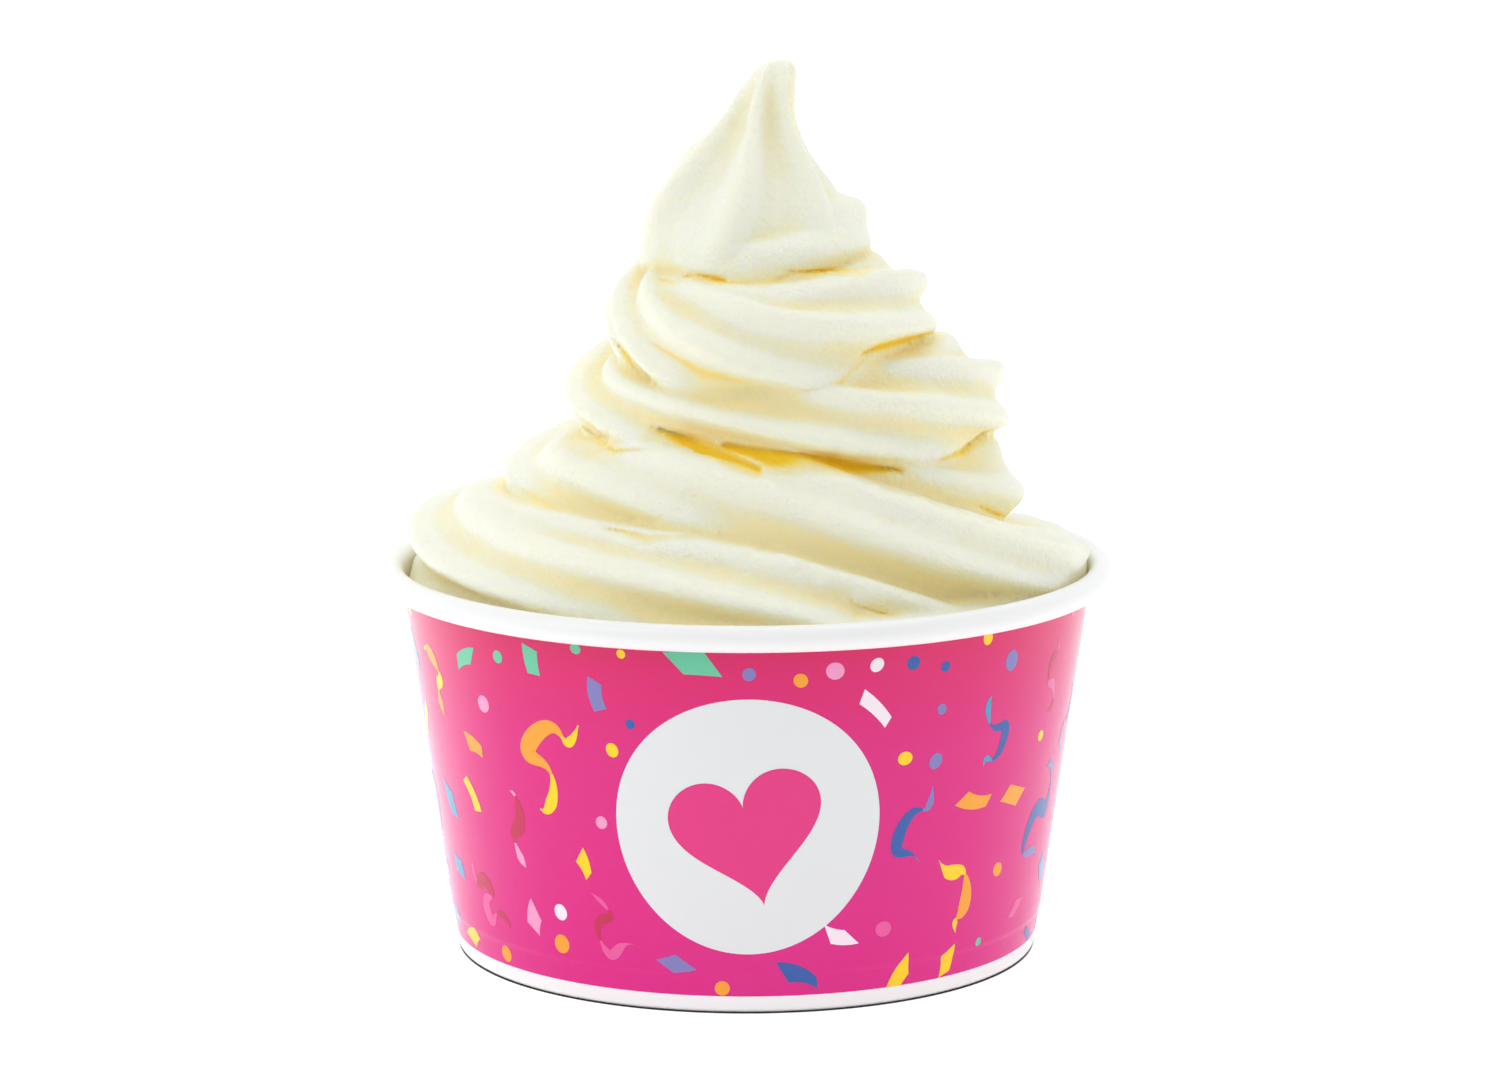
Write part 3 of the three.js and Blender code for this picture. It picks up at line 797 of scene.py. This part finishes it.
def frozen_yogurt():
    """Frozen yogurt, whipped with air and piped while soft: opaque, and light soaks into it. Its folds
    and gaps are painted darker and yellower as shade, and given a faint painted glow. A satin skin
    of ice crystals and small pores lies over it; its crystals are about half a millimetre wide, its
    pores about one and a half, and the patches that differ in tone and iciness about 11; a noise's
    scale counts them to the metre."""
    material, tree, shader = new_material("frozen_yogurt_piped", {
        "Roughness": 0.42, "IOR": 1.36, "Subsurface Weight": 0.5, "Subsurface Scale": 0.0035,
        "Subsurface Radius": (1.0, 0.74, 0.24)})
    where = node(tree, "ShaderNodeTexCoord")
    here = {"Vector": (where, "Object")}
    patches = node(tree, "ShaderNodeTexNoise", inputs={"Scale": 90.0, "Detail": 2.0}, links=here)
    crystals = node(tree, "ShaderNodeTexNoise", inputs={"Scale": 1700.0, "Detail": 2.0}, links=here)
    pores = node(tree, "ShaderNodeTexNoise", inputs={"Scale": 700.0, "Detail": 3.0}, links=here)

    # Painted shade: how deep in a fold or a gap each place is, and how enclosed it is, sets how much
    # darker and yellower its colour is painted. A fold alone goes no further than the middle colour.
    fold = node(tree, "ShaderNodeAttribute", {"attribute_name": "fold"})
    gap = node(tree, "ShaderNodeAttribute", {"attribute_name": "gap"})
    # Ambient occlusion adds painted shade where the surface is enclosed.
    shut_in = node(tree, "ShaderNodeAmbientOcclusion", {"samples": 12}, {"Distance": 0.014})
    closed = node(tree, "ShaderNodeMath", {"operation": "MULTIPLY_ADD"}, {1: -0.6, 2: 0.6},
                  {0: (shut_in, "AO")})
    folded = node(tree, "ShaderNodeMath", {"operation": "ADD"},
                  links={0: (fold, "Fac"), 1: (closed, "Value")})
    held = node(tree, "ShaderNodeMath", {"operation": "MINIMUM"}, {1: 0.6}, {0: (folded, "Value")})
    glow = node(tree, "ShaderNodeMath", {"operation": "MULTIPLY_ADD"}, {1: 0.5},
                {0: (gap, "Fac"), 2: (held, "Value")})

    # Pale on open places, going to a darker yellow: painted shade in folds, gaps and enclosed places.
    cream_and_shade = colour_stops(tree, ((0.14, "#F2F4E7"), (0.34, "#F0EFD2"), (0.60, "#EEE3B2"),
                                (0.80, "#EED878"), (1.0, "#ECC52E")), (glow, "Value"))
    tint = colour_stops(tree, ((0.0, "#F3DFA8"), (1.0, "#FFFFFF")), (patches, "Fac"))
    blend = node(tree, "ShaderNodeMix", {"data_type": "RGBA", "blend_type": "MULTIPLY"},
                 {"Factor": 0.10}, {"A": (cream_and_shade, "Color"), "B": (tint, "Color")})
    tree.links.new(blend.outputs["Result"], shader.inputs["Base Color"])

    # Painted glow: shaded folds and gaps give off a little light in their own colour, in place of light that
    # comes through the yogurt.
    painted_glow_strength = node(tree, "ShaderNodeMapRange", inputs={"From Min": 0.3, "From Max": 0.8, "To Max": 0.15},
                      links={"Value": (glow, "Value")})
    tree.links.new(cream_and_shade.outputs["Color"], shader.inputs["Emission Color"])
    tree.links.new(painted_glow_strength.outputs["Result"], shader.inputs["Emission Strength"])

    icy = node(tree, "ShaderNodeMapRange", inputs={"From Min": 0.4, "From Max": 0.65, "To Min": 0.5},
               links={"Value": (patches, "Fac")})
    rough = node(tree, "ShaderNodeBump", inputs={"Distance": 0.0003},
                 links={"Height": (crystals, "Fac"), "Strength": (icy, "Result")})
    bump = node(tree, "ShaderNodeBump", inputs={"Strength": 0.5, "Distance": 0.0006},
                links={"Height": (pores, "Fac"), "Normal": (rough, "Normal")})
    tree.links.new(bump.outputs["Normal"], shader.inputs["Normal"])
    return material


def coated_board(name, colour, roughness, colours_up=()):
    """Bleached paperboard under a film of polyethylene, printed or plain: smooth, a little glossy,
    and faintly wavy from the fibres under the film, which are drawn about a millimetre wide, in
    waves of about 22. The colour may change on the way up the cup, by stops of (share of the
    height, colour)."""
    material, tree, shader = new_material(name, {
        "Base Color": linear(colour), "Roughness": roughness, "IOR": 1.47})
    where = node(tree, "ShaderNodeTexCoord")
    here = {"Vector": (where, "Object")}
    fibres = node(tree, "ShaderNodeTexNoise", inputs={"Scale": 900.0, "Detail": 3.0}, links=here)
    waves = node(tree, "ShaderNodeTexNoise", inputs={"Scale": 45.0, "Detail": 1.0}, links=here)
    fine = node(tree, "ShaderNodeBump", inputs={"Strength": 0.12, "Distance": 0.00006},
                links={"Height": (fibres, "Fac")})
    broad = node(tree, "ShaderNodeBump", inputs={"Strength": 0.25, "Distance": 0.0008},
                 links={"Height": (waves, "Fac"), "Normal": (fine, "Normal")})
    tree.links.new(broad.outputs["Normal"], shader.inputs["Normal"])
    if colours_up:
        parts = node(tree, "ShaderNodeSeparateXYZ", links=here)
        share = node(tree, "ShaderNodeMapRange", inputs={"From Max": INK_TOP * MM},
                     links={"Value": (parts, "Z")})
        ink = colour_stops(tree, colours_up, (share, "Result"))
        tree.links.new(ink.outputs["Color"], shader.inputs["Base Color"])
    speckle = node(tree, "ShaderNodeMapRange",
                   inputs={"To Min": roughness - 0.04, "To Max": roughness + 0.06},
                   links={"Value": (fibres, "Fac")})
    tree.links.new(speckle.outputs["Result"], shader.inputs["Roughness"])
    return material


# ======================================================================== the part
yogurt = yogurt_swirl(frozen_yogurt())
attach(yogurt, "root")
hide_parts("frozen_yogurt")

white_board = coated_board("paperboard_film_coated_white", "#F4F5F5", 0.34)
# The magenta turns redder towards the top, under the rim.
magenta_board = coated_board("paperboard_printed_magenta", "#DC1084", 0.17,
                             ((0.0, "#DC0A86"), (0.7, "#DC087E"), (1.0, "#DA0862")))
wall = cup_wall(white_board, magenta_board)
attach(wall, "root")
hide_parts("cup")
base = cup_base(coated_board("paperboard_film_coated_base", "#EFF0EE", 0.42))
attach(base, "root")
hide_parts("cup_base")

disc = dot(2 * LABEL_RADIUS, 2 * LABEL_RADIUS, 30, 180)
label = printed("label_disc", [(disc, LABEL_AZIMUTH, LABEL_HEIGHT)],
                coated_board("paperboard_print_white", "#E2E6E7", 0.18), INK_PROUD)
shape = tilted(heart(HEART_SIZE), HEART_TILT)
emblem = printed("label_heart", [(shape, LABEL_AZIMUTH, LABEL_HEIGHT - HEART_DROP)],
                 coated_board("paperboard_print_heart", "#E2287F", 0.18), HEART_PROUD)
pieces = [label, emblem]
for colour, figures in confetti().items():
    ink = coated_board("paperboard_print_" + colour, INKS[colour], 0.18)
    pieces.append(printed("confetti_" + colour, figures, ink, INK_PROUD))
for piece in pieces:
    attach(piece, "root")


# ======================================================================== surroundings
def lamp(name, place, aim, size, power):
    """Square white softbox that faces a point."""
    light = bpy.data.lights.new(name, "AREA")
    light.shape, light.size, light.energy = "SQUARE", size, power
    holder = bpy.data.objects.new(name, light)
    bpy.context.collection.objects.link(holder)
    direction = np.array(aim) - np.array(place)
    level = math.hypot(direction[0], direction[1])
    turn = math.atan2(direction[1], direction[0]) - PI / 2
    holder.location = place
    holder.rotation_euler = (math.atan2(level, -direction[2]), 0, turn)


def eased_range(tree, source, limits):
    """A node that eases a value from one pair of limits to another: (from, from, to, to)."""
    names = ("From Min", "From Max", "To Min", "To Max")
    return node(tree, "ShaderNodeMapRange", {"interpolation_type": "SMOOTHSTEP"},
                dict(zip(names, limits)), {"Value": source})


def white_table():
    """Matt white table that the studio overexposes. A thin painted contact shadow lies where the foot
    touches it. Behind the cup the table is brighter still, more so on the left, and shines in the
    cup's sides; well in front of it the table is painted a little darker, as shade."""
    material, tree, shader = new_material("table_white", {"Roughness": 0.9})
    where = node(tree, "ShaderNodeTexCoord")
    from_axis = node(tree, "ShaderNodeVectorMath", {"operation": "DISTANCE"},
                     {1: (0, -0.0003, 0)}, {0: (where, "Object")})
    # Painted contact shadow: the table is dark under the foot, up to just past its edge.
    past_contact_shadow = eased_range(tree, (from_axis, "Value"), (0.0450, 0.0455, 0.0, 1.0))
    parts = node(tree, "ShaderNodeSeparateXYZ", links={"Vector": (where, "Object")})
    leftwards = eased_range(tree, (parts, "X"), (-0.06, 0.06, 0.8, 0.45))
    backwards = eased_range(tree, (parts, "Y"), (-0.05, 0.05, 0.42))
    tree.links.new(leftwards.outputs["Result"], backwards.inputs["To Max"])
    tree.links.new(backwards.outputs["Result"], shader.inputs["Emission Strength"])
    # Painted shade: well in front of the cup the table is darker.
    front_shade = eased_range(tree, (parts, "Y"), (-0.2, -0.09, 0.75, 1.0))
    tone = node(tree, "ShaderNodeMath", {"operation": "MULTIPLY"},
                links={0: (past_contact_shadow, "Result"), 1: (front_shade, "Result")})
    # Where shade is painted the table is dark and gives no light; elsewhere it is white and glows.
    for socket, dark, light in (("Base Color", "#2A2620", "#F4F4F4"),
                                ("Emission Color", "#000000", "#FFFFFF")):
        shade = colour_stops(tree, ((0.0, dark), (1.0, light)), (tone, "Value"))
        tree.links.new(shade.outputs["Color"], shader.inputs[socket])
    return material


def studio():
    """White surroundings, bright behind the cup and dim behind the camera."""
    world = bpy.data.worlds.new("studio")
    world.use_nodes = True
    tree = world.node_tree
    background = tree.nodes["Background"]
    background.inputs["Color"].default_value = (1, 1, 1, 1)
    towards = node(tree, "ShaderNodeTexCoord")
    parts = node(tree, "ShaderNodeSeparateXYZ", links={"Vector": (towards, "Generated")})
    backdrop = eased_range(tree, (parts, "Y"), (-0.9, 0.8, 0.32, 1.08))
    tree.links.new(backdrop.outputs["Result"], background.inputs["Strength"])
    return world


reach = np.linspace(-4000, 4000, 3)
plane = np.stack([*np.meshgrid(reach, reach), np.zeros((3, 3))], -1)
floor = mesh_piece("floor", [(plane, False, False, 0)], [white_table()])

scene = bpy.context.scene
scene.world = studio()
# Soft boxes: where each stands and what it faces, in metres, then its size and power.
lamp("key_light", (-0.6, -0.5, 0.8), (0, 0, 0.08), 0.6, 2.1)
lamp("left_light", (-0.9, -0.3, 0.35), (0, 0, 0.07), 0.5, 0.7)
lamp("right_light", (0.9, -0.25, 0.35), (0, 0, 0.07), 0.5, 0.8)
lamp("top_light", (0.2, 0.1, 1.1), (0, 0, 0.06), 0.6, 1.5)
lamp("front_light", (0.1, -1.2, 1.2), (0, 0, 0.07), 0.8, 3.0)

scene.view_settings.view_transform = "Standard"
scene.view_settings.look = "None"
camera = bpy.data.objects.new("camera", bpy.data.cameras.new("camera"))
bpy.context.collection.objects.link(camera)
camera.location = CAMERA_PLACE
camera.rotation_euler = (math.radians(90 - CAMERA_DOWN), 0, CAMERA_TURN)
camera.data.sensor_width, camera.data.lens = SENSOR, LENS
scene.camera = camera
